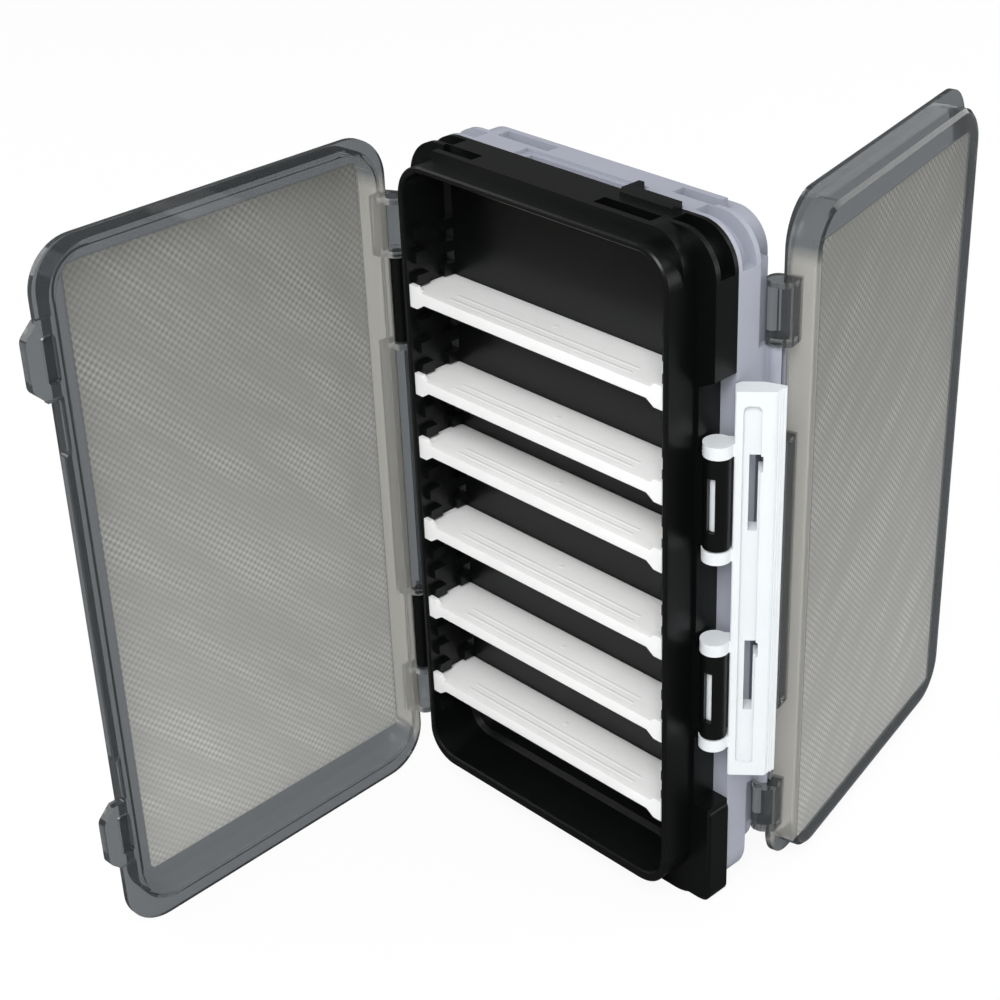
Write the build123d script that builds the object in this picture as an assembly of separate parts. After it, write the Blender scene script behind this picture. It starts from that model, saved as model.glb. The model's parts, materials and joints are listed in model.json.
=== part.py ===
from build123d import *
import os

# Double-sided lure box, standing on its short end. Millimetres, +Z up.
# The two trays sit back to back on the plane y = 0, and the origin is the middle of their foot line.
# The front half is drawn facing -Y. The back half is the same half turned half a turn about Z.

# Tray plate that carries the deep frame
TRAY_HALF_WIDTH = 47.0
TRAY_HEIGHT = 172.6
TRAY_CORNER = 10.0
PLATE_THICK = 7.0
FLOOR_THICK = 1.9

# Deep frame that makes the compartment walls
SIDE_MARGIN = 5.3
TOP_MARGIN = 2.6
RING_HALF_WIDTH = TRAY_HALF_WIDTH - SIDE_MARGIN
RING_BOTTOM = 5.9
RING_TOP = TRAY_HEIGHT - TOP_MARGIN
RING_CORNER = 8.6
RING_WALL = 1.6
RING_FOOT_WALL = 2.8
RIM_DEPTH = 15.9
RIM_EDGE = 0.4
CAVITY_EDGE = 1.2

# Latch side: the plate is cut back between an upper ear and a lower foot
EAR_TALL = 35.0
EAR_BOTTOM = TRAY_HEIGHT - EAR_TALL
EAR_CUT_EDGE = RING_HALF_WIDTH + 0.9
EAR_BEVEL = 3.0
FOOT_TOP = 28.4
FOOT_WIDE = 11.7
FOOT_EDGE = TRAY_HALF_WIDTH + 0.4
FOOT_DEPTH = 10.5
FOOT_KNEE = 5.0
FOOT_SHOULDER = 13.0
FOOT_ROUND = 3.0

# Crescents cut from the edge of the plate's top corners, between two depths from y = 0
CRESCENT_SINK = 2.4
CRESCENT_ACROSS = 13.6
CRESCENT_DOWN = 10.0
CRESCENT_DEPTHS = (1.2, 5.6)

# Lip that the lid's flange lies on: along the top edge and down the hinge side
LIP_DEPTH = 11.2
LIP_HINGE_INSET = 1.6
LIP_CORNER_ACROSS = 13.0
LIP_CORNER_DOWN = 10.0

# Snap pockets in the top edge, on each side of the middle
POCKET_DEPTHS = (5.9, 9.5)
POCKET_SINK = 0.6
POCKET_SPANS = ((-35.0, -23.0), (14.6, 31.0))

# Sliding catch in the middle of the top edge: a track in the back tray, a hook on the front one
TRACK_LEFT = -19.6
TRACK_RIGHT = 17.8
TRACK_WIDE = 4.5
TRACK_SHELF = 0.9
TRACK_GROOVE = (1.7, 3.5)
TRACK_END = 2.4
TRACK_SINK = 2.8
HOOK_RIGHT = 31.2
HOOK_RISE = 1.6
HOOK_DEPTH = 3.0
HOOK_LIP = 1.5
HOOK_LIP_REACH = 3.2
HOOK_GAP = 0.3

# Divider racks: a row of teeth by the rim and one by the floor, on both side walls
SLOT_PITCH = 5.68
SLOT_FIRST = 25.1
SLOT_HEIGHT = 2.3
RACK_HEAD = 12.0
TOOTH_OUT = 1.7
TOOTH_DRAFT = 0.35
FRONT_ROW_FACE = 13.9
FRONT_ROW_LENGTH = 3.6
BACK_ROW_LENGTH = 3.6

# Dividers, counted in rack slots from the lowest slot
DIVIDER_SLOTS = (20, 16, 13, 9, 5, 1)
DIVIDER_THICK = 2.0
DIVIDER_END_GAP = 0.3
DIVIDER_SEAT_GAP = 0.25
DIVIDER_FRONT = 15.4
DIVIDER_LIP_THICK = 1.2
DIVIDER_LIP_TALL = 2.9
DIVIDER_TAB_WIDTH = 4.6
DIVIDER_TAB_FLAT = 2.4
DIVIDER_TAB_DOWN = 4.4
DIVIDER_TAB_UP = 1.2
DIVIDER_RIB_TALL = 2.9

# Lid hinge: barrels on the tray, pins and brackets on the lid
HINGE_X = -TRAY_HALF_WIDTH - 1.45
HINGE_Y = -11.4
HINGE_BARREL_R = 2.0
HINGE_PIN_R = 1.1
HINGE_PIN_GAP = 0.08
HINGE_LOW_BARREL = (28.8, 50.8)
HINGE_HIGH_BARREL = (TRAY_HEIGHT - 50.6, TRAY_HEIGHT - 29.2)
HINGE_BARRELS = (HINGE_LOW_BARREL, HINGE_HIGH_BARREL)
HINGE_END_GAP = 0.35
HINGE_WEB = 1.6
HINGE_WEB_DROP = 0.3
HINGE_SLIT = 1.3
BRACKET_ENDS = (14.8, TRAY_HEIGHT - 14.1)
BRACKET_R = 2.7
BRACKET_DEPTH = 4.0
BRACKET_ARM = 1.6
BRACKET_SKIN = 1.1
BRACKET_SLOPE = 1.5

# Lid, drawn shut over the front tray
LID_LEFT = -TRAY_HALF_WIDTH + 0.75
LID_RIGHT = TRAY_HALF_WIDTH + 1.35
LID_BOTTOM = 0.3
LID_TOP = TRAY_HEIGHT + 2.4
LID_CORNER = 11.0
LID_FLANGE = 1.4
LID_DEPTH = 7.3
LID_PANEL = 1.1
LID_WALL = 1.2
LID_DRAFT = 2.0
LID_EDGE = 0.9
LID_HINGE_GAP = 2.35
LID_LATCH_GAP = 1.2
LID_END_GAP = 1.4
LID_FIELD_SINK = 0.3
LID_FIELD_CORNER = 1.5
FIELD_HINGE_BORDER = 0.7
FIELD_LATCH_BORDER = 5.8
FIELD_END_BORDER = 5.0
LID_OPEN_ANGLE = 88.0
BACK_LID_OPEN_ANGLE = 77.0

# Lid edge on the latch side
NOTCH_BOTTOM = 37.8
NOTCH_TOP = LID_TOP - 34.0
NOTCH_EDGE = LID_RIGHT - 3.35
CATCH_OUT = 1.2
CATCH_BOTTOM = NOTCH_BOTTOM + 11.6
CATCH_TOP = NOTCH_TOP - 12.8
CATCH_THICK = 2.3
TAB_OUT = 3.0
TAB_THICK = 2.4
TAB_LENGTH = 18.0
TAB_ROUND = 2.4
TAB_DISH = 1.2
TAB_DISH_WIDE = 3.2
TAB_DISH_END = 3.6

# Latch, drawn shut beside the lid edge
LATCH_X = TRAY_HALF_WIDTH - 0.5
LATCH_Y = -5.0
LATCH_BARREL_R = 3.2
LATCH_PIN_R = 1.9
LATCH_PIN_GAP = 0.08
BAR_BOTTOM = NOTCH_BOTTOM + 1.0
BAR_TOP = NOTCH_TOP - 3.1
LATCH_LOW_BARREL = (BAR_BOTTOM + 11.1, BAR_BOTTOM + 33.6)
LATCH_HIGH_BARREL = (BAR_TOP - 38.0, BAR_TOP - 15.7)
LATCH_BARRELS = (LATCH_LOW_BARREL, LATCH_HIGH_BARREL)
LATCH_END_GAP = 0.3
LATCH_WEB = 4.4
LATCH_LUG_R = 3.4
LATCH_LUG_TALL = 3.0
LATCH_SLIT = 1.9
LATCH_SLIT_LENGTH = 13.4
LATCH_SLIT_ANGLE = -75.0
BAR_INNER = 1.2
BAR_THICK = 5.0
BAR_NEAR = 3.45
BAR_FACE_END = 11.9
BAR_REACH = 14.5
BAR_BEVEL = 2.7
BAR_SLOPE_START = 9.8
BAR_TIP = 0.7
BAR_ROUND = 0.25
CHANNEL_NEAR = 5.2
CHANNEL_WIDE = 4.0
CHANNEL_DEPTH = 1.0
CHANNEL_END = 3.4
CHANNEL_CORNER = 1.3
WINDOW_NEAR = 6.7
WINDOW_WIDE = 3.0
WINDOW_NARROW = 2.0
WINDOW_TOPS = (LATCH_LOW_BARREL[1] + 3.0, LATCH_HIGH_BARREL[1] + 0.4)
WINDOW_HEAD = 3.8
WINDOW_LENGTH = 18.8
GRIP_GROOVE = 0.4
LATCH_OPEN_ANGLE = 130.8

SINK = 0.6

# Lines shared by several pieces
CAVITY_HALF_WIDTH = RING_HALF_WIDTH - RING_WALL
CAVITY_BOTTOM = RING_BOTTOM + RING_FOOT_WALL
CAVITY_TOP = RING_TOP - RING_WALL
CAVITY_CORNER = RING_CORNER - RING_WALL
SLOT_COUNT = int((CAVITY_TOP - SLOT_FIRST - RACK_HEAD) / SLOT_PITCH)
HOLLOW_LEFT = -RING_HALF_WIDTH - LID_HINGE_GAP
HOLLOW_RIGHT = RING_HALF_WIDTH + LID_LATCH_GAP
HOLLOW_BOTTOM = RING_BOTTOM - LID_END_GAP
HOLLOW_TOP = RING_TOP + LID_END_GAP
HOLLOW_CORNER = LID_CORNER - LID_WALL


def front_plane(depth):
    """Drawing plane that faces -Y, at y = -depth, with +Z up the page."""
    return Plane(origin=(0, -depth, 0), x_dir=(1, 0, 0), z_dir=(0, -1, 0))


def floor_plane(height):
    """Drawing plane that faces +Z, at z = height."""
    return Plane(origin=(0, 0, height), x_dir=(1, 0, 0), z_dir=(0, 0, 1))


def round_face(left, right, bottom, top, corner, depth):
    """Rounded rectangle that faces -Y."""
    middle = Pos((left + right) / 2, (bottom + top) / 2)
    return front_plane(depth) * middle * RectangleRounded(right - left, top - bottom, corner)


def round_slab(left, right, bottom, top, corner, near, far, taper=0):
    """Rounded slab between the depths near and far in front of y = 0."""
    face = round_face(left, right, bottom, top, corner, near)
    return extrude(face, amount=far - near, taper=taper)


def block(left, right, bottom, top, near, far):
    """Plain block, with its depths counted forward from y = 0."""
    size = (right - left, far - near, top - bottom)
    middle = ((left + right) / 2, -(near + far) / 2, (bottom + top) / 2)
    return Pos(*middle) * Box(*size)


def post(x, y, radius, bottom, top):
    """Upright round bar."""
    return Pos(x, y, (bottom + top) / 2) * Cylinder(radius, top - bottom)


def turned_about(solid, x, y, angle):
    """The solid turned about an upright line."""
    return Pos(x, y, 0) * Rot(0, 0, angle) * Pos(-x, -y, 0) * solid


def at_back(solid):
    """The matching piece of the back half."""
    return Rot(0, 0, 180) * solid


def slot_top(slot):
    """Height of a divider's top face in a rack slot."""
    return SLOT_FIRST + SLOT_PITCH * slot


def flange_lip():
    """Lip round the frame for the lid's flange, stepped back at the corner above the hinges."""
    left = -TRAY_HALF_WIDTH + LIP_HINGE_INSET
    near = PLATE_THICK - SINK
    lip = round_slab(left, RING_HALF_WIDTH, RING_BOTTOM, TRAY_HEIGHT, RING_CORNER, near, LIP_DEPTH)
    corner = block(
        left - 1,
        -TRAY_HALF_WIDTH + LIP_CORNER_ACROSS,
        TRAY_HEIGHT - LIP_CORNER_DOWN,
        TRAY_HEIGHT + 1,
        near - 1,
        LIP_DEPTH + 1,
    )
    return lip - corner


def frame_and_plate():
    """Tray plate with the deep frame on it, hollowed from the front."""
    plate = round_slab(-TRAY_HALF_WIDTH, TRAY_HALF_WIDTH, 0, TRAY_HEIGHT, TRAY_CORNER, 0, PLATE_THICK)
    ring = round_slab(
        -RING_HALF_WIDTH, RING_HALF_WIDTH, RING_BOTTOM, RING_TOP, RING_CORNER, FLOOR_THICK, RIM_DEPTH
    )
    cavity = round_slab(
        -CAVITY_HALF_WIDTH,
        CAVITY_HALF_WIDTH,
        CAVITY_BOTTOM,
        CAVITY_TOP,
        CAVITY_CORNER,
        FLOOR_THICK,
        RIM_DEPTH + 1,
    )
    cavity = chamfer(cavity.edges().group_by(Axis.Y)[-1], CAVITY_EDGE)
    body = plate + ring + flange_lip() - cavity
    return chamfer(body.edges().group_by(Axis.Y)[0], RIM_EDGE)


def ear_cut():
    """Plate taken away beside the latch, so that the other tray's plate shows."""
    gap = block(EAR_CUT_EDGE, TRAY_HALF_WIDTH + 5, FOOT_TOP, EAR_BOTTOM, -1, PLATE_THICK + 1)
    wedge = Plane.XZ * Polyline(
        (EAR_CUT_EDGE, EAR_BOTTOM - SINK),
        (TRAY_HALF_WIDTH + 1, EAR_BOTTOM - SINK),
        (TRAY_HALF_WIDTH + 1, EAR_BOTTOM + EAR_BEVEL),
        (EAR_CUT_EDGE, EAR_BOTTOM),
        close=True,
    )
    bevel = extrude(make_face(wedge), amount=PLATE_THICK + 1, both=True)
    return gap + bevel


def foot():
    """Foot on the latch side: a heel as thick as the plate, and a toe that comes forward."""
    left = FOOT_EDGE - FOOT_WIDE
    heel = round_slab(left, FOOT_EDGE, 0, FOOT_TOP, FOOT_ROUND, 0, PLATE_THICK)
    toe = round_slab(left, FOOT_EDGE, 0, FOOT_TOP, FOOT_ROUND, 0, FOOT_DEPTH)
    side = Plane.YZ * Polyline(
        (0, 0),
        (-FOOT_DEPTH, 0),
        (-FOOT_DEPTH, FOOT_KNEE),
        (-PLATE_THICK, FOOT_SHOULDER),
        (0, FOOT_SHOULDER),
        close=True,
    )
    slope = extrude(make_face(side), amount=FOOT_EDGE + 1)
    inside = round_slab(
        -CAVITY_HALF_WIDTH - SINK,
        CAVITY_HALF_WIDTH + SINK,
        CAVITY_BOTTOM - SINK,
        CAVITY_TOP,
        CAVITY_CORNER + SINK,
        0,
        FOOT_DEPTH + 1,
    )
    body = heel + (toe & slope)
    edges = body.edges().filter_by(Axis.Z).group_by(Axis.X)[-1].group_by(Axis.Y)[0]
    return chamfer(edges, FOOT_ROUND / 3) - inside


def crescent():
    """Crescent cut from the edge of the plate's top right corner."""
    near, far = CRESCENT_DEPTHS
    edge = TRAY_HALF_WIDTH - CRESCENT_SINK
    outer = block(
        TRAY_HALF_WIDTH - CRESCENT_ACROSS,
        TRAY_HALF_WIDTH + 1,
        TRAY_HEIGHT - CRESCENT_DOWN,
        TRAY_HEIGHT + 1,
        near,
        far,
    )
    core = round_slab(
        -edge, edge, CRESCENT_SINK, TRAY_HEIGHT - CRESCENT_SINK, TRAY_CORNER, near - 1, far + 1
    )
    return outer - core


def edge_cuts():
    """What is cut from the tray's top edge: a crescent at both corners and the snap pockets."""
    floor_z = RING_TOP - POCKET_SINK
    pockets = [block(*span, floor_z, TRAY_HEIGHT + 1, *POCKET_DEPTHS) for span in POCKET_SPANS]
    return [crescent(), mirror(crescent(), Plane.YZ), *pockets]


def rack_row(face_depth, length):
    """One row of rack teeth on the right wall, as one group of drafted prisms."""
    teeth = []
    root = CAVITY_HALF_WIDTH + SINK
    nose = CAVITY_HALF_WIDTH - TOOTH_OUT
    half_root = (SLOT_PITCH - SLOT_HEIGHT) / 2
    half_nose = half_root - TOOTH_DRAFT
    plane = front_plane(face_depth - length)
    for number in range(SLOT_COUNT + 1):
        seat = SLOT_FIRST + SLOT_PITCH * number - DIVIDER_THICK / 2
        middle = seat - SLOT_PITCH / 2
        outline = Polyline(
            (root, middle - half_root),
            (root, middle + half_root),
            (nose, middle + half_nose),
            (nose, middle - half_nose),
            close=True,
        )
        teeth.append(extrude(plane * make_face(outline), amount=length))
    return teeth


def racks():
    """Both rows on both side walls."""
    right = rack_row(FRONT_ROW_FACE, FRONT_ROW_LENGTH)
    right += rack_row(FLOOR_THICK + BACK_ROW_LENGTH, BACK_ROW_LENGTH + SINK)
    left = [mirror(tooth, Plane.YZ) for tooth in right]
    return right + left


def slit_barrel(x, y, radius, bore, bottom, top):
    """Round barrel on a moulded-in line, before its bore is cut."""
    return post(x, y, radius, bottom, top), post(x, y, bore, bottom - 1, top + 1)


def latch_barrels():
    """Latch barrels on webs, and what is cut from them: the bore and the slit window."""
    solids = []
    cuts = []
    for bottom, top in LATCH_BARRELS:
        barrel, bore = slit_barrel(
            LATCH_X, LATCH_Y, LATCH_BARREL_R, LATCH_PIN_R + LATCH_PIN_GAP, bottom, top
        )
        web = block(
            RING_HALF_WIDTH - SINK,
            LATCH_X,
            bottom,
            top,
            -LATCH_Y - LATCH_WEB / 2,
            -LATCH_Y + LATCH_WEB / 2,
        )
        window = Pos(LATCH_BARREL_R, 0, 0) * Box(2 * LATCH_BARREL_R, LATCH_SLIT, LATCH_SLIT_LENGTH)
        window = Pos(LATCH_X, LATCH_Y, (bottom + top) / 2) * Rot(0, 0, LATCH_SLIT_ANGLE) * window
        solids += [barrel, web]
        cuts += [bore, window]
    return solids, cuts


def hinge_barrels():
    """Lid hinge barrels on webs, and their bores and full-length slits."""
    solids = []
    cuts = []
    web_face = -HINGE_Y - HINGE_WEB_DROP
    for bottom, top in HINGE_BARRELS:
        barrel, bore = slit_barrel(
            HINGE_X, HINGE_Y, HINGE_BARREL_R, HINGE_PIN_R + HINGE_PIN_GAP, bottom, top
        )
        shelf = block(HINGE_X, -RING_HALF_WIDTH + SINK, bottom, top, web_face - HINGE_WEB, web_face)
        wall = block(
            -TRAY_HALF_WIDTH, -TRAY_HALF_WIDTH + HINGE_WEB, bottom, top, PLATE_THICK - SINK, web_face
        )
        slit = Pos(-HINGE_BARREL_R, 0, 0) * Box(2 * HINGE_BARREL_R, HINGE_SLIT, top - bottom + 2)
        slit = Pos(HINGE_X, HINGE_Y, (bottom + top) / 2) * slit
        solids += [barrel, shelf, wall]
        cuts += [bore, slit]
    return solids, cuts


def plain_tray():
    """Tray of either half, before the sliding catch."""
    body = frame_and_plate().cut(ear_cut(), *edge_cuts())
    latch_solids, latch_cuts = latch_barrels()
    hinge_solids, hinge_cuts = hinge_barrels()
    body = body.fuse(foot(), *racks(), *latch_solids, *hinge_solids)
    return body.cut(*latch_cuts, *hinge_cuts)


def catch_hook():
    """Hook on the front tray's top edge, with a lip that lies in the back tray's track."""
    left = TRACK_RIGHT - HOOK_GAP - HOOK_LIP
    top = TRAY_HEIGHT + HOOK_RISE
    body = block(left, HOOK_RIGHT, TRAY_HEIGHT - SINK, top, 0, HOOK_DEPTH)
    body = chamfer(body.edges().filter_by(Axis.X).group_by(Axis.Z)[-1].group_by(Axis.Y)[0], HOOK_RISE / 2)
    low = TRAY_HEIGHT - TRACK_SHELF + HOOK_GAP
    return body + block(left, left + HOOK_LIP, low, top, -HOOK_LIP_REACH, HOOK_DEPTH / 2)


def catch_track():
    """Track in the back tray's top edge, as it lies behind the plane y = 0."""
    shelf = block(
        TRACK_LEFT, TRACK_RIGHT, TRAY_HEIGHT - TRACK_SHELF, TRAY_HEIGHT + 1, -TRACK_WIDE, SINK
    )
    near, far = TRACK_GROOVE
    groove = block(
        TRACK_LEFT + TRACK_END,
        TRACK_RIGHT - TRACK_END,
        TRAY_HEIGHT - TRACK_SINK,
        TRAY_HEIGHT,
        -far,
        -near,
    )
    return shelf + groove


def front_tray():
    """Front tray with the hook."""
    return plain_tray() + catch_hook()


def back_tray():
    """Back tray with the track for the hook."""
    return at_back(plain_tray()) - catch_track()


def lid_shell():
    """Flange, drafted skirt and panel of a shut lid."""
    face = -HINGE_Y
    flange = round_slab(LID_LEFT, LID_RIGHT, LID_BOTTOM, LID_TOP, LID_CORNER, face, face + LID_FLANGE)
    skirt = round_slab(
        HOLLOW_LEFT - LID_WALL,
        HOLLOW_RIGHT + LID_WALL,
        HOLLOW_BOTTOM - LID_WALL,
        HOLLOW_TOP + LID_WALL,
        LID_CORNER,
        face,
        face + LID_DEPTH,
        taper=LID_DRAFT,
    )
    skirt = chamfer(skirt.edges().group_by(Axis.Y)[0], LID_EDGE)
    hollow = round_slab(
        HOLLOW_LEFT,
        HOLLOW_RIGHT,
        HOLLOW_BOTTOM,
        HOLLOW_TOP,
        HOLLOW_CORNER,
        face,
        face + LID_DEPTH - LID_PANEL,
        taper=LID_DRAFT,
    )
    field = round_slab(
        HOLLOW_LEFT + FIELD_HINGE_BORDER,
        HOLLOW_RIGHT - FIELD_LATCH_BORDER,
        HOLLOW_BOTTOM + FIELD_END_BORDER,
        HOLLOW_TOP - FIELD_END_BORDER,
        LID_FIELD_CORNER,
        face + LID_DEPTH - LID_FIELD_SINK,
        face + LID_DEPTH + 1,
    )
    return flange + skirt - hollow - field


def lid_notch():
    """Flange taken away where the latch bar comes over the edge."""
    return round_slab(
        NOTCH_EDGE, LID_RIGHT + 3, NOTCH_BOTTOM, NOTCH_TOP, 1.0, -HINGE_Y - 1, -HINGE_Y + LID_FLANGE + 0.1
    )


def lid_catch():
    """Raised lip on the notched edge that the latch bar snaps over."""
    face = -HINGE_Y
    inner = HOLLOW_RIGHT + LID_WALL / 2
    outer = NOTCH_EDGE + CATCH_OUT
    return round_slab(inner, outer, CATCH_BOTTOM, CATCH_TOP, 1.0, face, face + CATCH_THICK)


def lid_tab(bottom):
    """Dished finger tab that stands out from the edge beyond the end of the latch bar."""
    face = -HINGE_Y
    top = bottom + TAB_LENGTH
    inner = HOLLOW_RIGHT + LID_WALL / 2
    root = NOTCH_EDGE + TAB_OUT
    outer = LID_RIGHT + TAB_OUT
    slope = outer - root
    outline = front_plane(face) * Polyline(
        (inner, bottom),
        (root, bottom),
        (outer, bottom + slope),
        (outer, top - slope),
        (root, top),
        (inner, top),
        close=True,
    )
    tab = extrude(make_face(outline), amount=TAB_THICK)
    tab = fillet(tab.edges().filter_by(Axis.Y).group_by(Axis.X)[-1], TAB_ROUND)
    left = HOLLOW_RIGHT + LID_WALL + LID_PANEL / 4
    dish = round_slab(
        left, left + TAB_DISH_WIDE, bottom + TAB_DISH_END, top - TAB_DISH_END, 1.0, face - 1, face + TAB_DISH
    )
    return tab, dish


def bracket_outline():
    """Plan outline of a hinge bracket: round the hinge line and up to the skirt."""
    skirt = HOLLOW_LEFT - LID_WALL / 2
    out = HINGE_Y - BRACKET_DEPTH
    left = HINGE_X - BRACKET_R
    nose = Pos(HINGE_X, HINGE_Y) * Circle(BRACKET_R)
    body = make_face(
        Polyline(
            (left, HINGE_Y),
            (left, out + 2 * BRACKET_SLOPE),
            (left + BRACKET_SLOPE, out),
            (skirt, out),
            (skirt, HINGE_Y),
            close=True,
        )
    )
    return nose + body


def bracket_hollow():
    """Plan outline of the space inside a bracket, open on the side that faces the tray."""
    skirt = HOLLOW_LEFT - LID_WALL / 2
    low = HINGE_Y - BRACKET_DEPTH + BRACKET_SKIN
    left = HINGE_X - BRACKET_R + BRACKET_SKIN
    top = HINGE_Y + BRACKET_R + 1
    return make_face(
        Polyline(
            (left, top),
            (left, low + BRACKET_SLOPE),
            (left + BRACKET_SLOPE, low),
            (skirt, low),
            (skirt, top),
            close=True,
        )
    )


def hinge_bracket(bottom, top):
    """Hollow bracket: an outer skin between two arms that hold the pins."""
    solid = extrude(floor_plane(bottom) * bracket_outline(), amount=top - bottom)
    room = top - bottom - 2 * BRACKET_ARM
    return solid - extrude(floor_plane(bottom + BRACKET_ARM) * bracket_hollow(), amount=room)


def hinge_side():
    """Brackets and pins of a lid, as separate solids to be fused to its shell."""
    gap = HINGE_END_GAP
    (low_bottom, low_top), (high_bottom, high_top) = HINGE_BARRELS
    spans = (
        (BRACKET_ENDS[0], low_bottom - gap),
        (low_top + gap, high_bottom - gap),
        (high_top + gap, BRACKET_ENDS[1]),
    )
    brackets = [hinge_bracket(*span) for span in spans]
    pins = [
        post(HINGE_X, HINGE_Y, HINGE_PIN_R, bottom - gap - SINK, top + gap + SINK)
        for bottom, top in HINGE_BARRELS
    ]
    return brackets + pins


def shut_lid():
    """Front lid as it lies shut on the tray."""
    body = lid_shell() - lid_notch()
    low_tab, low_dish = lid_tab(NOTCH_BOTTOM - TAB_LENGTH)
    high_tab, high_dish = lid_tab(NOTCH_TOP)
    body = body.fuse(lid_catch(), low_tab, high_tab, *hinge_side())
    return body.cut(low_dish, high_dish)


def latch_point(reach, inward):
    """Plan point of the shut latch, measured from its hinge line."""
    return LATCH_X - inward, LATCH_Y - reach


def latch_bar():
    """Bar of the latch with its bevelled finger edge."""
    outer = BAR_INNER - BAR_THICK
    corners = [
        (BAR_NEAR, BAR_INNER),
        (BAR_FACE_END, BAR_INNER),
        (BAR_REACH, BAR_INNER - BAR_BEVEL),
        (BAR_REACH - BAR_TIP / 2, BAR_INNER - BAR_BEVEL - BAR_TIP),
        (BAR_SLOPE_START, outer),
        (BAR_NEAR + BAR_INNER, outer),
        (BAR_NEAR, outer + BAR_INNER),
    ]
    outline = make_face(Polyline(*[latch_point(*corner) for corner in corners], close=True))
    bar = extrude(floor_plane(BAR_BOTTOM) * outline, amount=BAR_TOP - BAR_BOTTOM)
    return chamfer(bar.edges().filter_by(Axis.Z), BAR_ROUND)


def latch_channel():
    """Round-ended channel in the bar's inner face that takes the lid's lip."""
    near = LATCH_Y - CHANNEL_NEAR
    room = BAR_TOP - BAR_BOTTOM - 2 * CHANNEL_END
    start = Plane(origin=(LATCH_X - BAR_INNER - 1, 0, 0), x_dir=(0, 1, 0), z_dir=(1, 0, 0))
    middle = Pos(near - CHANNEL_WIDE / 2, (BAR_BOTTOM + BAR_TOP) / 2)
    outline = start * middle * RectangleRounded(CHANNEL_WIDE, room, CHANNEL_CORNER)
    return extrude(outline, amount=1 + CHANNEL_DEPTH)


def latch_windows():
    """Two L-shaped windows through the bar."""
    cuts = []
    near = -LATCH_Y + WINDOW_NEAR
    left = LATCH_X - BAR_INNER - 1
    right = left + BAR_THICK + 2
    for top in WINDOW_TOPS:
        cuts.append(block(left, right, top - WINDOW_HEAD, top, near, near + WINDOW_WIDE))
        cuts.append(block(left, right, top - WINDOW_LENGTH, top, near, near + WINDOW_NARROW))
    return cuts


def grip_grooves():
    """Three long grooves down the bevelled finger edge."""
    cuts = []
    start = Vector(*latch_point(BAR_FACE_END, BAR_INNER))
    end = Vector(*latch_point(BAR_REACH, BAR_INNER - BAR_BEVEL))
    length = BAR_TOP - BAR_BOTTOM + 2
    for share in (0.3, 0.52, 0.74):
        spot = start + (end - start) * share
        cuts.append(Pos(spot.X, spot.Y, (BAR_BOTTOM + BAR_TOP) / 2) * Box(GRIP_GROOVE, GRIP_GROOVE, length))
    return cuts


def latch_lug(bottom):
    """Lug that joins the bar to a pin end."""
    ring = post(LATCH_X, LATCH_Y, LATCH_LUG_R, bottom, bottom + LATCH_LUG_TALL)
    arm = block(
        LATCH_X - BAR_INNER,
        LATCH_X - BAR_INNER + BAR_THICK - BAR_INNER,
        bottom,
        bottom + LATCH_LUG_TALL,
        -LATCH_Y,
        -LATCH_Y + BAR_NEAR + SINK,
    )
    return [ring, arm]


def shut_latch():
    """Front latch as it lies shut over the lid edge."""
    gap = LATCH_END_GAP
    solids = []
    for bottom, top in LATCH_BARRELS:
        solids += latch_lug(bottom - gap - LATCH_LUG_TALL)
        solids += latch_lug(top + gap)
        solids.append(post(LATCH_X, LATCH_Y, LATCH_PIN_R, bottom - gap - SINK, top + gap + SINK))
    bar = latch_bar().cut(latch_channel(), *latch_windows(), *grip_grooves())
    return bar.fuse(*solids)


def divider(slot):
    """Front divider in a rack slot: plank, stiffening lips and flared end tabs."""
    top = slot_top(slot)
    half = CAVITY_HALF_WIDTH - DIVIDER_END_GAP
    inner_half = CAVITY_HALF_WIDTH - TOOTH_OUT - DIVIDER_END_GAP
    back = FLOOR_THICK + DIVIDER_SEAT_GAP
    lip_back = DIVIDER_FRONT - DIVIDER_LIP_THICK
    thin = DIVIDER_THICK - TOOTH_DRAFT / 4
    plank = block(-half, half, top - thin, top, back, DIVIDER_FRONT)
    plank = chamfer(plank.edges().filter_by(Axis.Z).group_by(Axis.Y)[-1], CAVITY_EDGE)
    front_lip = block(-half, half, top - DIVIDER_LIP_TALL, top, lip_back, DIVIDER_FRONT)
    back_lip = block(
        -inner_half, inner_half, top - DIVIDER_RIB_TALL, top, back, back + DIVIDER_LIP_THICK
    )
    tabs = []
    flat = half - DIVIDER_TAB_FLAT
    start = half - DIVIDER_TAB_WIDTH
    for side in (-1, 1):
        outline = Polyline(
            (side * half, top - DIVIDER_TAB_DOWN),
            (side * half, top + DIVIDER_TAB_UP),
            (side * flat, top + DIVIDER_TAB_UP),
            (side * start, top - DIVIDER_THICK / 2),
            (side * start, top - DIVIDER_LIP_TALL),
            (side * flat, top - DIVIDER_TAB_DOWN),
            close=True,
        )
        face = make_face(front_plane(lip_back) * outline)
        tabs.append(extrude(face, amount=DIVIDER_LIP_THICK, dir=(0, -1, 0)))
    return plank.fuse(front_lip, back_lip, *tabs)


def all_pieces():
    """Every piece at rest, by node name."""
    lid = shut_lid()
    latch = turned_about(shut_latch(), LATCH_X, LATCH_Y, LATCH_OPEN_ANGLE)
    pieces = {
        "front_tray": front_tray(),
        "back_tray": back_tray(),
        "front_lid": turned_about(lid, HINGE_X, HINGE_Y, -LID_OPEN_ANGLE),
        "back_lid": at_back(turned_about(lid, HINGE_X, HINGE_Y, -BACK_LID_OPEN_ANGLE)),
        "front_latch": latch,
        "back_latch": at_back(latch),
    }
    for number, slot in enumerate(DIVIDER_SLOTS, start=1):
        piece = divider(slot)
        pieces[f"front_divider_{number}"] = piece
        pieces[f"back_divider_{number}"] = at_back(piece)
    return pieces


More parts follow.
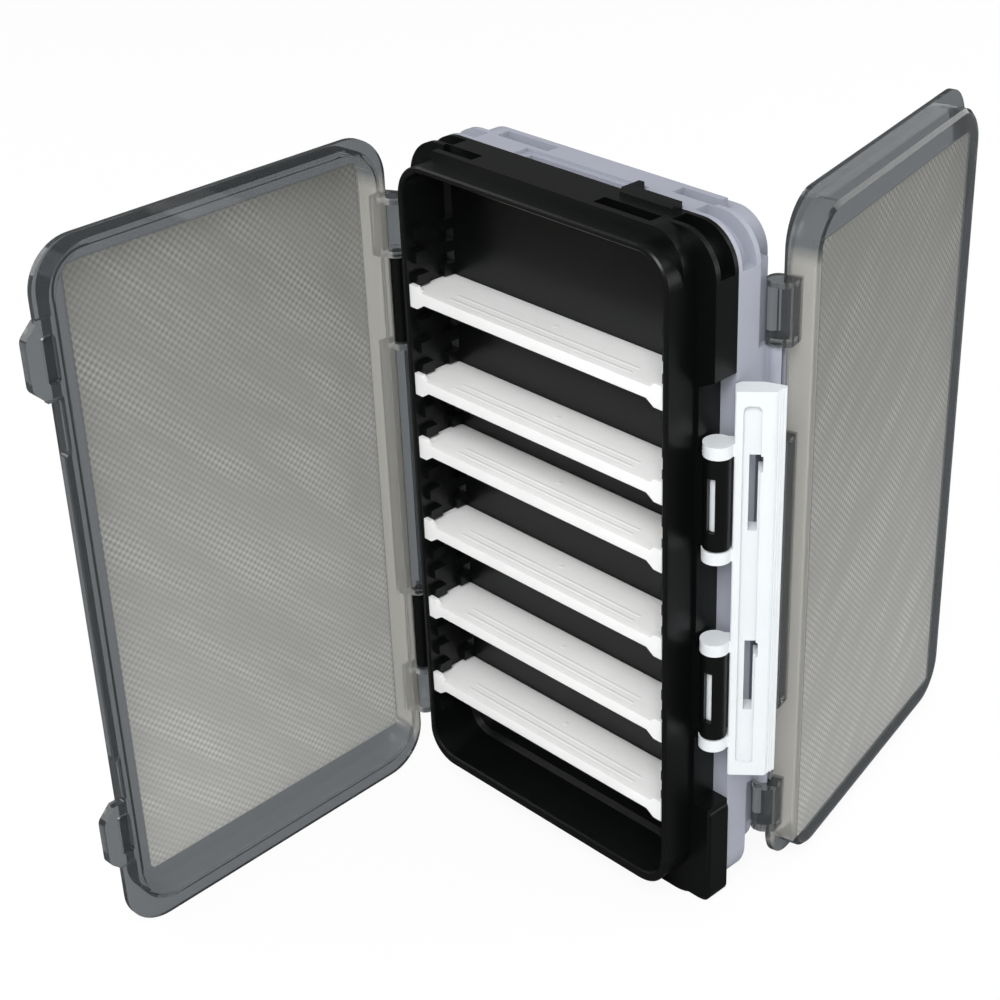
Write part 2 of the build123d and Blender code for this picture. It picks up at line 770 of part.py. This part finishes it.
os.makedirs("parts", exist_ok=True)
for name, piece in all_pieces().items():
    export_step(piece, f"parts/{name}.step")
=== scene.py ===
# %% [markdown]
# # A double-sided lure box, standing open
#
# The case is two shallow moulded trays that lie back to back. A smoke-tinted lid swings from each side,
# and white bar latches fold out on the opposite edges. The solids arrive as one fixed frame, in metres and
# already in place. What is left to do here is what the eye sees: the plastics, the fine dotted texture of
# the lids, the light and the camera.

# %% The frame and what it holds
import bpy
import json
import math
from mathutils import Matrix, Vector

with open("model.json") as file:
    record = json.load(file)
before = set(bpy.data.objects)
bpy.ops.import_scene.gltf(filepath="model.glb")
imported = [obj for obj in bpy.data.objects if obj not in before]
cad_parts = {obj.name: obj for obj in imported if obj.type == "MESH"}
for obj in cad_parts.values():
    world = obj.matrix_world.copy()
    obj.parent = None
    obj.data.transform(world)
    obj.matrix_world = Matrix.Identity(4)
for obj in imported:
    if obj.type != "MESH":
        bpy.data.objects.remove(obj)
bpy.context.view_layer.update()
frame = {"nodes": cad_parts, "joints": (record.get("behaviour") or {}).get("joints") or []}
nodes = frame["nodes"]
print("pieces in the frame:", len(nodes))

# %% [markdown]
# ## The camera
#
# The photograph looks down on the case from the front right. Lines that are parallel on the case draw
# together quite strongly, so the camera stands close, about half a metre away. A point and three angles
# place it, which are easier to read than a matrix: how far it is turned round the case, how far it looks
# down, and how far it leans. The case stands a little off the lens axis, so a small sideways shift of the
# lens frames it.

# %% The camera
CAMERA_PLACE = Vector((0.2964, -0.2951, 0.3253))
CAMERA_ROUND = math.radians(43.881)
CAMERA_DOWN = math.radians(28.941)
CAMERA_LEAN = math.radians(-0.474)
FOCAL_PIXELS = 2028.8
LENS_AXIS_X = 620.0
LENS_AXIS_Y = 490.0
PICTURE = 1000.0
SENSOR = 36.0
CLIP_START = 0.01

camera_data = bpy.data.cameras.new("camera")
camera_data.sensor_width = SENSOR
camera_data.lens = SENSOR * FOCAL_PIXELS / PICTURE
camera_data.shift_x = 0.5 - LENS_AXIS_X / PICTURE
camera_data.shift_y = LENS_AXIS_Y / PICTURE - 0.5
camera_data.clip_start = CLIP_START
camera = bpy.data.objects.new("camera", camera_data)
bpy.context.collection.objects.link(camera)
turn = Matrix.Rotation(CAMERA_ROUND, 4, "Z")
tilt = Matrix.Rotation(math.pi / 2 - CAMERA_DOWN, 4, "X")
lean = Matrix.Rotation(CAMERA_LEAN, 4, "Z")
camera.matrix_world = Matrix.Translation(CAMERA_PLACE) @ turn @ tilt @ lean
bpy.context.scene.camera = camera
print("lens in millimetres:", round(camera_data.lens, 1))

# %% [markdown]
# ## Helpers for materials
#
# Every finish here is built from shader nodes. A few small helpers keep that readable: one starts a
# material, one adds a node and sets its values, one does sums with sockets, and one mixes two colours. The
# patterns read Object coordinates, which are fixed to each piece, so a dot on a lid stays where it is
# wherever the lid swings. The frame's own plain materials hold some of the names used here, and Blender
# then adds .001 to the new one.


# %% A new material and its nodes
def new_material(name):
    """Empty node material with its output and a Principled shader."""
    material = bpy.data.materials.new(name)
    material.use_nodes = True
    tree = material.node_tree
    tree.nodes.clear()
    output = tree.nodes.new("ShaderNodeOutputMaterial")
    shader = tree.nodes.new("ShaderNodeBsdfPrincipled")
    tree.links.new(shader.outputs["BSDF"], output.inputs["Surface"])
    return material, tree, shader, output


def add_node(tree, kind, **inputs):
    """Node of one kind, with input values given by name."""
    node = tree.nodes.new(kind)
    for name, value in inputs.items():
        node.inputs[name.replace("_", " ")].default_value = value
    return node


print("materials that come with the frame:", [material.name for material in bpy.data.materials])


# %% Sums with sockets
def maths(tree, operation, first, second=None, clamp=False):
    """Output of a Math node whose inputs are sockets or numbers."""
    node = tree.nodes.new("ShaderNodeMath")
    node.operation = operation
    node.use_clamp = clamp
    for socket, value in zip(node.inputs, (first, second)):
        if value is None:
            continue
        if isinstance(value, (int, float)):
            socket.default_value = value
        else:
            tree.links.new(value, socket)
    return node.outputs[0]


def distance(tree, first, second):
    """Length of the diagonal of two sockets."""
    square = maths(tree, "MULTIPLY", first, first)
    other = maths(tree, "MULTIPLY", second, second)
    return maths(tree, "SQRT", maths(tree, "ADD", square, other))


def ramp(tree, limit, value, steepness):
    """0 where the value is past the limit, rising to 1 below it."""
    return maths(tree, "MULTIPLY", maths(tree, "SUBTRACT", limit, value), steepness, clamp=True)


print("helpers for sums: maths, distance, ramp")


# %% Mixed colours, and giving a finish to pieces
def blend_colours(tree, factor, first, second):
    """Mix of two colours by a factor socket."""
    node = tree.nodes.new("ShaderNodeMix")
    node.data_type = "RGBA"
    tree.links.new(factor, node.inputs["Factor"])
    for socket, value in ((node.inputs["A"], first), (node.inputs["B"], second)):
        if isinstance(value, tuple):
            socket.default_value = (*value, 1.0)
        else:
            tree.links.new(value, socket)
    return node.outputs["Result"]


def dress(material, *names):
    """Give pieces of the frame one material."""
    for name in names:
        slots = nodes[name].data.materials
        slots.clear()
        slots.append(material)
    print(material.name, "dresses", *names)


print("helpers for finishes: blend_colours, dress")

# %% [markdown]
# ## Moulded plastic
#
# Trays, latches and dividers are injection moulded in polypropylene. The surface is satin, with a very fine
# spark-eroded grain and slow, shallow waves where the wall cooled over ribs. Two noise textures at those two
# scales drive a small bump, and the coarse one also moves the colour and the roughness a little, which
# breaks up highlights the way real mouldings do. A picture could give the same, but noise has no seams and
# needs no unwrapping.

# %% Moulded plastic
GRAIN_SCALE = 2600.0
GRAIN_HEIGHT = 0.00003
WAVE_SCALE = 55.0
WAVE_HEIGHT = 0.0006
WAVE_GLOSS = 0.10
WAVE_SHADE = 0.90
RELIEF_HEIGHT = 0.00009
MOULDED_IOR = 1.49


def moulded_bump(tree, place, grain, wave, relief):
    """Normal and slow waves of a moulded surface; relief may add raised marks."""
    fine = add_node(tree, "ShaderNodeTexNoise", Scale=GRAIN_SCALE, Detail=2.0, Roughness=0.6)
    slow = add_node(tree, "ShaderNodeTexNoise", Scale=WAVE_SCALE, Detail=2.0, Roughness=0.5)
    tree.links.new(place, fine.inputs["Vector"])
    tree.links.new(place, slow.inputs["Vector"])
    coarse = add_node(tree, "ShaderNodeBump", Strength=wave, Distance=WAVE_HEIGHT)
    close = add_node(tree, "ShaderNodeBump", Strength=grain, Distance=GRAIN_HEIGHT)
    tree.links.new(slow.outputs["Fac"], coarse.inputs["Height"])
    tree.links.new(fine.outputs["Fac"], close.inputs["Height"])
    tree.links.new(coarse.outputs["Normal"], close.inputs["Normal"])
    if relief:
        marks = add_node(tree, "ShaderNodeBump", Strength=1.0, Distance=RELIEF_HEIGHT)
        tree.links.new(relief(tree, place), marks.inputs["Height"])
        tree.links.new(marks.outputs["Normal"], coarse.inputs["Normal"])
    return close.outputs["Normal"], slow.outputs["Fac"]


def moulded_plastic(name, colour, roughness, grain, wave, mirror=0.5, relief=None):
    """Satin moulded plastic; mirror is how strongly it reflects, relief adds raised marks."""
    material, tree, shader, _ = new_material(name)
    place = tree.nodes.new("ShaderNodeTexCoord").outputs["Object"]
    normal, waves = moulded_bump(tree, place, grain, wave, relief)
    tree.links.new(normal, shader.inputs["Normal"])
    spread = maths(tree, "MULTIPLY", waves, WAVE_GLOSS)
    tree.links.new(maths(tree, "ADD", spread, roughness - WAVE_GLOSS / 2), shader.inputs["Roughness"])
    darker = tuple(WAVE_SHADE * part for part in colour)
    tree.links.new(blend_colours(tree, waves, darker, colour), shader.inputs["Base Color"])
    shader.inputs["IOR"].default_value = MOULDED_IOR
    shader.inputs["Specular IOR Level"].default_value = mirror
    return material


print("grain of", round(1000 / GRAIN_SCALE, 1), "mm and waves of", round(1000 / WAVE_SCALE), "mm")

# %% [markdown]
# ## Trays and latches
#
# The front tray is a deep black that mirrors little, the back tray a lavender grey, and the latches a cool
# white with a finer grain than the trays.

# %% Trays and latches
TRAY_BLACK = (0.0030, 0.0038, 0.0034)
TRAY_GREY = (0.34, 0.355, 0.415)
LATCH_WHITE = (0.70, 0.73, 0.75)

black_plastic = moulded_plastic("black_plastic", TRAY_BLACK, roughness=0.30, grain=0.35, wave=0.10,
                                mirror=0.30)
grey_plastic = moulded_plastic("grey_plastic", TRAY_GREY, roughness=0.42, grain=0.30, wave=0.10)
latch_plastic = moulded_plastic("latch_plastic", LATCH_WHITE, roughness=0.30, grain=0.15, wave=0.05)
dress(black_plastic, "front_tray")
dress(grey_plastic, "back_tray")
dress(latch_plastic, "front_latch", "back_latch")

# %% [markdown]
# ## Dividers
#
# The dividers are moulded without pigment, in a milky white that lets some light through. Subsurface
# scattering gives that softness: a shaded corner glows a little and an edge has no hard white line. Each
# divider also carries two low ridges along its length and the round spot where the plastic was let into the
# mould. They are a tenth of a millimetre high, so they are bump, drawn from the distance to a line or point.

# %% Ridges and gate spot
RIDGE_DEPTHS = (0.0104, 0.0128)
RIDGE_HALF_WIDTH = 0.0006
RIDGE_REACH = 0.029
GATE_DEPTH = 0.0071
GATE_RADIUS = 0.0009
EDGE_STEEPNESS = 1700.0


def divider_relief(tree, place):
    """Height of the ridges and the gate spot on a divider, from 0 to 1."""
    split = tree.nodes.new("ShaderNodeSeparateXYZ")
    tree.links.new(place, split.inputs["Vector"])
    depth = maths(tree, "ABSOLUTE", split.outputs["Y"])
    reach = maths(tree, "ABSOLUTE", split.outputs["X"])
    within = ramp(tree, RIDGE_REACH, reach, EDGE_STEEPNESS)
    ridges = []
    for centre in RIDGE_DEPTHS:
        off = maths(tree, "ABSOLUTE", maths(tree, "SUBTRACT", depth, centre))
        ridges.append(ramp(tree, RIDGE_HALF_WIDTH, off, EDGE_STEEPNESS))
    both = maths(tree, "MULTIPLY", maths(tree, "MAXIMUM", *ridges), within)
    from_gate = distance(tree, maths(tree, "SUBTRACT", depth, GATE_DEPTH), reach)
    return maths(tree, "MAXIMUM", both, ramp(tree, GATE_RADIUS, from_gate, EDGE_STEEPNESS))


print("ridges in millimetres from the middle:", [round(1000 * depth, 1) for depth in RIDGE_DEPTHS])

# %% Divider plastic
DIVIDER_WHITE = (0.91, 0.91, 0.90)
MILKY_SHARE = 0.45
MILKY_REACH = 0.004
MILKY_TINT = (1.0, 0.95, 0.9)

divider_plastic = moulded_plastic("divider_plastic", DIVIDER_WHITE, roughness=0.38, grain=0.20, wave=0.08,
                                  relief=divider_relief)
milky_shader = divider_plastic.node_tree.nodes["Principled BSDF"]
milky_shader.inputs["Subsurface Weight"].default_value = MILKY_SHARE
milky_shader.inputs["Subsurface Scale"].default_value = MILKY_REACH
milky_shader.inputs["Subsurface Radius"].default_value = MILKY_TINT
dress(divider_plastic, *[name for name in nodes if "divider" in name])

# %% [markdown]
# ## Where a lid's plastic lies
#
# The lids are one clear, tinted moulding each, so a lid has one material with masks. A Mapping node turns
# Object coordinates back by the angle at which the lid stands open, into the lid's own plane: one way runs
# across from the hinge, the other up. A rounded rectangle in that plane says where the frosted panel is,
# and a narrow band where the thin wall along the hinge is, which looks paler than the rim.

# %% Lid coordinates
HINGES = {joint["child"]: joint for joint in frame["joints"] if joint["child"].endswith("_lid")}
FRONT_OPEN = 88.0
BACK_OPEN = 77.0
LID_TURNS = {"front_lid": math.radians(-FRONT_OPEN), "back_lid": math.radians(180.0 - BACK_OPEN)}
for name, joint in HINGES.items():
    print(name, "hinge at", [round(part, 5) for part in joint["pos_m"]])


def lid_coordinates(tree, joint, angle):
    """Sockets for the distance from the hinge and the height on a lid."""
    place = tree.nodes.new("ShaderNodeTexCoord")
    unturn = tree.nodes.new("ShaderNodeMapping")
    unturn.vector_type = "TEXTURE"
    x, y, _ = joint["pos_m"]
    unturn.inputs["Location"].default_value = (x, y, 0.0)
    unturn.inputs["Rotation"].default_value = (0.0, 0.0, angle)
    tree.links.new(place.outputs["Object"], unturn.inputs["Vector"])
    split = tree.nodes.new("ShaderNodeSeparateXYZ")
    tree.links.new(unturn.outputs["Vector"], split.inputs["Vector"])
    return split.outputs["X"], split.outputs["Z"]


# %% The panel and the hinge wall
FIELD_CENTRE = (0.04533, 0.08795)
FIELD_HALF = (0.0402, 0.0784)
FIELD_ROUND = 0.0015
FIELD_STEEPNESS = 5000.0
STRIP_INNER = 0.0022
STRIP_LOW = 0.0050
STRIP_HIGH = 0.1650
STRIP_STEEPNESS = 3000.0
STRIP_FADE = 250.0


def past_field(tree, value, centre, half):
    """How far a place lies past the straight part of the field's edge, and never less than 0."""
    off = maths(tree, "ABSOLUTE", maths(tree, "SUBTRACT", value, centre))
    return maths(tree, "MAXIMUM", maths(tree, "SUBTRACT", off, half - FIELD_ROUND), 0.0)


def inside_field(tree, across, up):
    """1 inside the textured field of a lid, 0 outside, with a soft edge."""
    aside = past_field(tree, across, FIELD_CENTRE[0], FIELD_HALF[0])
    above = past_field(tree, up, FIELD_CENTRE[1], FIELD_HALF[1])
    return ramp(tree, FIELD_ROUND, distance(tree, aside, above), FIELD_STEEPNESS)


def hinge_strip(tree, across, up):
    """1 on the thin wall between the brackets and the panel, 0 on the rest of the lid."""
    near = ramp(tree, across, STRIP_INNER, STRIP_STEEPNESS)
    far = ramp(tree, FIELD_CENTRE[0] - FIELD_HALF[0], across, STRIP_STEEPNESS)
    low = ramp(tree, up, STRIP_LOW, STRIP_FADE)
    high = ramp(tree, STRIP_HIGH, up, STRIP_FADE)
    return maths(tree, "MULTIPLY", maths(tree, "MULTIPLY", near, far), maths(tree, "MULTIPLY", low, high))


print("frosted panel in millimetres:", [round(2000 * half, 1) for half in FIELD_HALF])

# %% [markdown]
# ## The dots of the panel
#
# The broad panel carries a fine texture of staggered dots that scatters light and reads as a warm pale
# grey. The product of an upright and a level sine wave gives dots in just that staggered order, each one
# DOT_PITCH from its nearest neighbours, without drawing a single one. They are struck more and less deeply
# in long slanting streaks, which a noise gives when it is stretched along one diagonal, and the same streaks
# lift the colour as a painted sheen. The colour is also painted paler towards the foot of the lid, as
# painted bounce light from the white floor, and darker at the top. That keeps so broad a panel from looking
# like a printed sheet.

# %% Streaks and dots
DOT_PITCH = 0.00138
WAVE_LENGTH = DOT_PITCH * math.sqrt(2)
WAVE_RATE = 2 * math.pi / WAVE_LENGTH
STREAKS_APART = 75.0
STREAKS_ALONG = 14.0
STREAK_START = 0.32
STREAK_SLOPE = 2.8
STREAK_LEAST = 0.30
# How much the streaks lift the panel's colour: a painted sheen, not a property of the plastic.
STREAK_PAINTED_SHEEN = 0.24


def sheen_streaks(tree, across, up):
    """Streaks from 0 to 1 along one diagonal: how deeply the dots are struck, and where the panel's colour
    gets a painted sheen.
    """
    place = tree.nodes.new("ShaderNodeCombineXYZ")
    apart = maths(tree, "MULTIPLY", maths(tree, "SUBTRACT", across, up), STREAKS_APART)
    along = maths(tree, "MULTIPLY", maths(tree, "ADD", across, up), STREAKS_ALONG)
    tree.links.new(apart, place.inputs["X"])
    tree.links.new(along, place.inputs["Y"])
    noise = add_node(tree, "ShaderNodeTexNoise", Scale=1.0, Detail=3.0, Roughness=0.6)
    tree.links.new(place.outputs["Vector"], noise.inputs["Vector"])
    past_start = maths(tree, "SUBTRACT", noise.outputs["Fac"], STREAK_START)
    steep = maths(tree, "MULTIPLY", past_start, STREAK_SLOPE)
    return maths(tree, "MAXIMUM", maths(tree, "MINIMUM", steep, 1.0), STREAK_LEAST)


def dot_height(tree, across, up):
    """Staggered round dots from 0 to 1, as the product of an upright and a level wave, lifted along the
    streaks by a painted sheen.
    """
    upright = maths(tree, "SINE", maths(tree, "MULTIPLY", across, WAVE_RATE))
    level = maths(tree, "SINE", maths(tree, "MULTIPLY", up, WAVE_RATE))
    sheen_streak = sheen_streaks(tree, across, up)
    wave = maths(tree, "MULTIPLY", maths(tree, "MULTIPLY", upright, level), sheen_streak)
    # Painted sheen: along the streaks the dots and frost are made lighter.
    painted_glint = maths(tree, "MULTIPLY", sheen_streak, STREAK_PAINTED_SHEEN)
    base = maths(tree, "ADD", maths(tree, "MULTIPLY", wave, 0.5), (1.0 - STREAK_PAINTED_SHEEN) / 2)
    return maths(tree, "ADD", base, painted_glint)


print("dots in one row of the panel:", round(2 * FIELD_HALF[0] / WAVE_LENGTH))

# %% Colour of the frost
# Panel colours at the top and at the foot of a lid: the foot is painted paler as bounce light from the
# floor, the top painted darker as shade.
LID_HEIGHT = 0.1735
HIGH_DOT_SHADED = (0.14, 0.140, 0.130)
HIGH_FROST_SHADED = (0.39, 0.392, 0.368)
LOW_DOT_BOUNCE_LIT = (0.36, 0.361, 0.345)
LOW_FROST_BOUNCE_LIT = (0.72, 0.722, 0.695)


def frost_colour_with_painted_bounce(tree, dots, up):
    """Colour of the dotted panel: dark dots on paler frost, painted paler low on the lid as bounce light
    from the floor.
    """
    high = blend_colours(tree, dots, HIGH_DOT_SHADED, HIGH_FROST_SHADED)
    low = blend_colours(tree, dots, LOW_DOT_BOUNCE_LIT, LOW_FROST_BOUNCE_LIT)
    # Painted bounce light: the colour goes from the paler foot to the darker top by height.
    return blend_colours(tree, maths(tree, "DIVIDE", up, LID_HEIGHT, clamp=True), low, high)


print("frost at the top of a lid:", HIGH_FROST_SHADED, "and at its foot:", LOW_FROST_BOUNCE_LIT)

# %% [markdown]
# ## Smoke-tinted lids
#
# The rim is smooth, clear and bluish, and it bends the light as a real wall does, because the lid's solid
# has its true thickness. On the panel the same shader is rougher and less clear, so it blurs and holds back
# what lies behind it. The masks say how much of each there is, and the dots also drive the bump.

# %% Smoke-tinted lids
RIM_SMOKE = (0.172, 0.185, 0.195)
WALL_SMOKE = (0.46, 0.455, 0.425)
RIM_ROUGHNESS = 0.06
FROST_ROUGHNESS = 0.20
RIM_CLEAR = 0.86
FROST_LOSS = 0.42
WALL_FROST = 0.6
DOT_STRENGTH = 0.5
DOT_HEIGHT = 0.00012
SMOKE_IOR = 1.45


def smoke_plastic(name, joint, angle):
    """Tinted clear plastic with a dotted panel and a paler wall along the hinge."""
    material, tree, shader, _ = new_material(name)
    across, up = lid_coordinates(tree, joint, angle)
    field = inside_field(tree, across, up)
    wall = hinge_strip(tree, across, up)
    dots = dot_height(tree, across, up)
    rim = blend_colours(tree, wall, RIM_SMOKE, WALL_SMOKE)
    colour = blend_colours(tree, field, rim, frost_colour_with_painted_bounce(tree, dots, up))
    tree.links.new(colour, shader.inputs["Base Color"])
    rough = maths(tree, "ADD", maths(tree, "MULTIPLY", field, FROST_ROUGHNESS), RIM_ROUGHNESS)
    tree.links.new(rough, shader.inputs["Roughness"])
    frosted = maths(tree, "MAXIMUM", field, maths(tree, "MULTIPLY", wall, WALL_FROST))
    clear = maths(tree, "SUBTRACT", RIM_CLEAR, maths(tree, "MULTIPLY", frosted, FROST_LOSS))
    tree.links.new(clear, shader.inputs["Transmission Weight"])
    bump = add_node(tree, "ShaderNodeBump", Strength=DOT_STRENGTH, Distance=DOT_HEIGHT)
    tree.links.new(maths(tree, "MULTIPLY", dots, field), bump.inputs["Height"])
    tree.links.new(bump.outputs["Normal"], shader.inputs["Normal"])
    shader.inputs["IOR"].default_value = SMOKE_IOR
    return material


for name, joint in HINGES.items():
    dress(smoke_plastic(name + "_smoke", joint, LID_TURNS[name]), name)

# %% [markdown]
# ## The floor
#
# The product stands on white, so the floor is white to the camera and through the clear lids, while the
# light that it throws on the case stays at a plain level. Light Path tells the rays apart. Mirrored in the
# plastic the floor is darker, as in a studio whose walls are dark beyond the white sweep, and that keeps the
# black tray black. A small share of the plain shader stays in what the camera sees, for the soft shadow.

# %% The floor
FLOOR_SIZE = 40.0
FLOOR_GLOW = 0.92
FLOOR_DIM = 0.88
FLOOR_WHITE = (0.86, 0.86, 0.86, 1.0)
FLOOR_ROUGHNESS = 0.9

bpy.ops.mesh.primitive_plane_add(size=FLOOR_SIZE, location=(0, 0, 0))
floor = bpy.context.object
floor.name = "floor"
floor_finish, floor_tree, floor_shader, floor_output = new_material("floor_white")
floor_shader.inputs["Base Color"].default_value = FLOOR_WHITE
floor_shader.inputs["Roughness"].default_value = FLOOR_ROUGHNESS
rays = floor_tree.nodes.new("ShaderNodeLightPath").outputs
seen = maths(floor_tree, "MAXIMUM", rays["Is Camera Ray"], rays["Is Transmission Ray"])
glow = add_node(floor_tree, "ShaderNodeEmission", Color=(1, 1, 1, 1))
floor_tree.links.new(seen, glow.inputs["Strength"])
glow_part = maths(floor_tree, "MULTIPLY", seen, FLOOR_GLOW)
dim_part = maths(floor_tree, "MULTIPLY", rays["Is Glossy Ray"], FLOOR_DIM)
mixed = floor_tree.nodes.new("ShaderNodeMixShader")
floor_tree.links.new(maths(floor_tree, "MAXIMUM", glow_part, dim_part), mixed.inputs["Fac"])
floor_tree.links.new(floor_shader.outputs["BSDF"], mixed.inputs[1])
floor_tree.links.new(glow.outputs["Emission"], mixed.inputs[2])
floor_tree.links.new(mixed.outputs["Shader"], floor_output.inputs["Surface"])
floor.data.materials.append(floor_finish)
print("floor across in metres:", FLOOR_SIZE)

# %% [markdown]
# ## The sky
#
# The world follows the same plan as the floor: white where it is seen, dimmer where it is mirrored, and a
# plain even level as light.

# %% The sky
SKY_LIGHT = 0.55
SKY_SEEN = 1.0
SKY_MIRRORED = 0.16

world = bpy.data.worlds.new("studio")
bpy.context.scene.world = world
world.use_nodes = True
sky_tree = world.node_tree
sky_tree.nodes.clear()
sky_output = sky_tree.nodes.new("ShaderNodeOutputWorld")
sky_rays = sky_tree.nodes.new("ShaderNodeLightPath").outputs
direct = maths(sky_tree, "MAXIMUM", sky_rays["Is Camera Ray"], sky_rays["Is Transmission Ray"])
seen_part = maths(sky_tree, "MULTIPLY", direct, SKY_SEEN - SKY_LIGHT)
mirrored_part = maths(sky_tree, "MULTIPLY", sky_rays["Is Glossy Ray"], SKY_MIRRORED - SKY_LIGHT)
strength = maths(sky_tree, "ADD", maths(sky_tree, "ADD", seen_part, mirrored_part), SKY_LIGHT)
sky = add_node(sky_tree, "ShaderNodeBackground", Color=(1, 1, 1, 1))
sky_tree.links.new(strength, sky.inputs["Strength"])
sky_tree.links.new(sky.outputs["Background"], sky_output.inputs["Surface"])
print("sky as light:", SKY_LIGHT)

# %% [markdown]
# ## The lamps
#
# Large soft lamps stand in for the studio's boxes: a broad one high at the front right, a weaker one on the
# left that lights the inside of the open lid, a small low one on the right for the outside of the other
# lid, and a gentle one behind for the grey half. A large lamp gives soft edges to the shadows.

# %% The lamps
CASE_MIDDLE = Vector((0.0, 0.0, 0.09))


def soft_lamp(name, place, size, power):
    """Square soft box that faces the middle of the case."""
    data = bpy.data.lights.new(name, "AREA")
    data.shape = "SQUARE"
    data.size = size
    data.energy = power
    lamp = bpy.data.objects.new(name, data)
    bpy.context.collection.objects.link(lamp)
    lamp.location = place
    towards_case = CASE_MIDDLE - Vector(place)
    lamp.rotation_euler = towards_case.to_track_quat("-Z", "Y").to_euler()
    print(name, power, "W,", round(towards_case.length, 2), "m away")


soft_lamp("key_lamp", place=(0.55, -0.75, 1.05), size=0.7, power=15.8)
soft_lamp("left_lamp", place=(-0.9, -0.55, 0.6), size=0.6, power=3.5)
soft_lamp("right_lamp", place=(0.85, 0.5, 0.22), size=0.4, power=1.3)
soft_lamp("back_lamp", place=(0.25, 0.95, 0.42), size=0.7, power=4.0)

# %% [markdown]
# ## Closing
#
# Colours show as they are written under the Standard view.

# %% Closing
bpy.context.scene.view_settings.view_transform = "Standard"
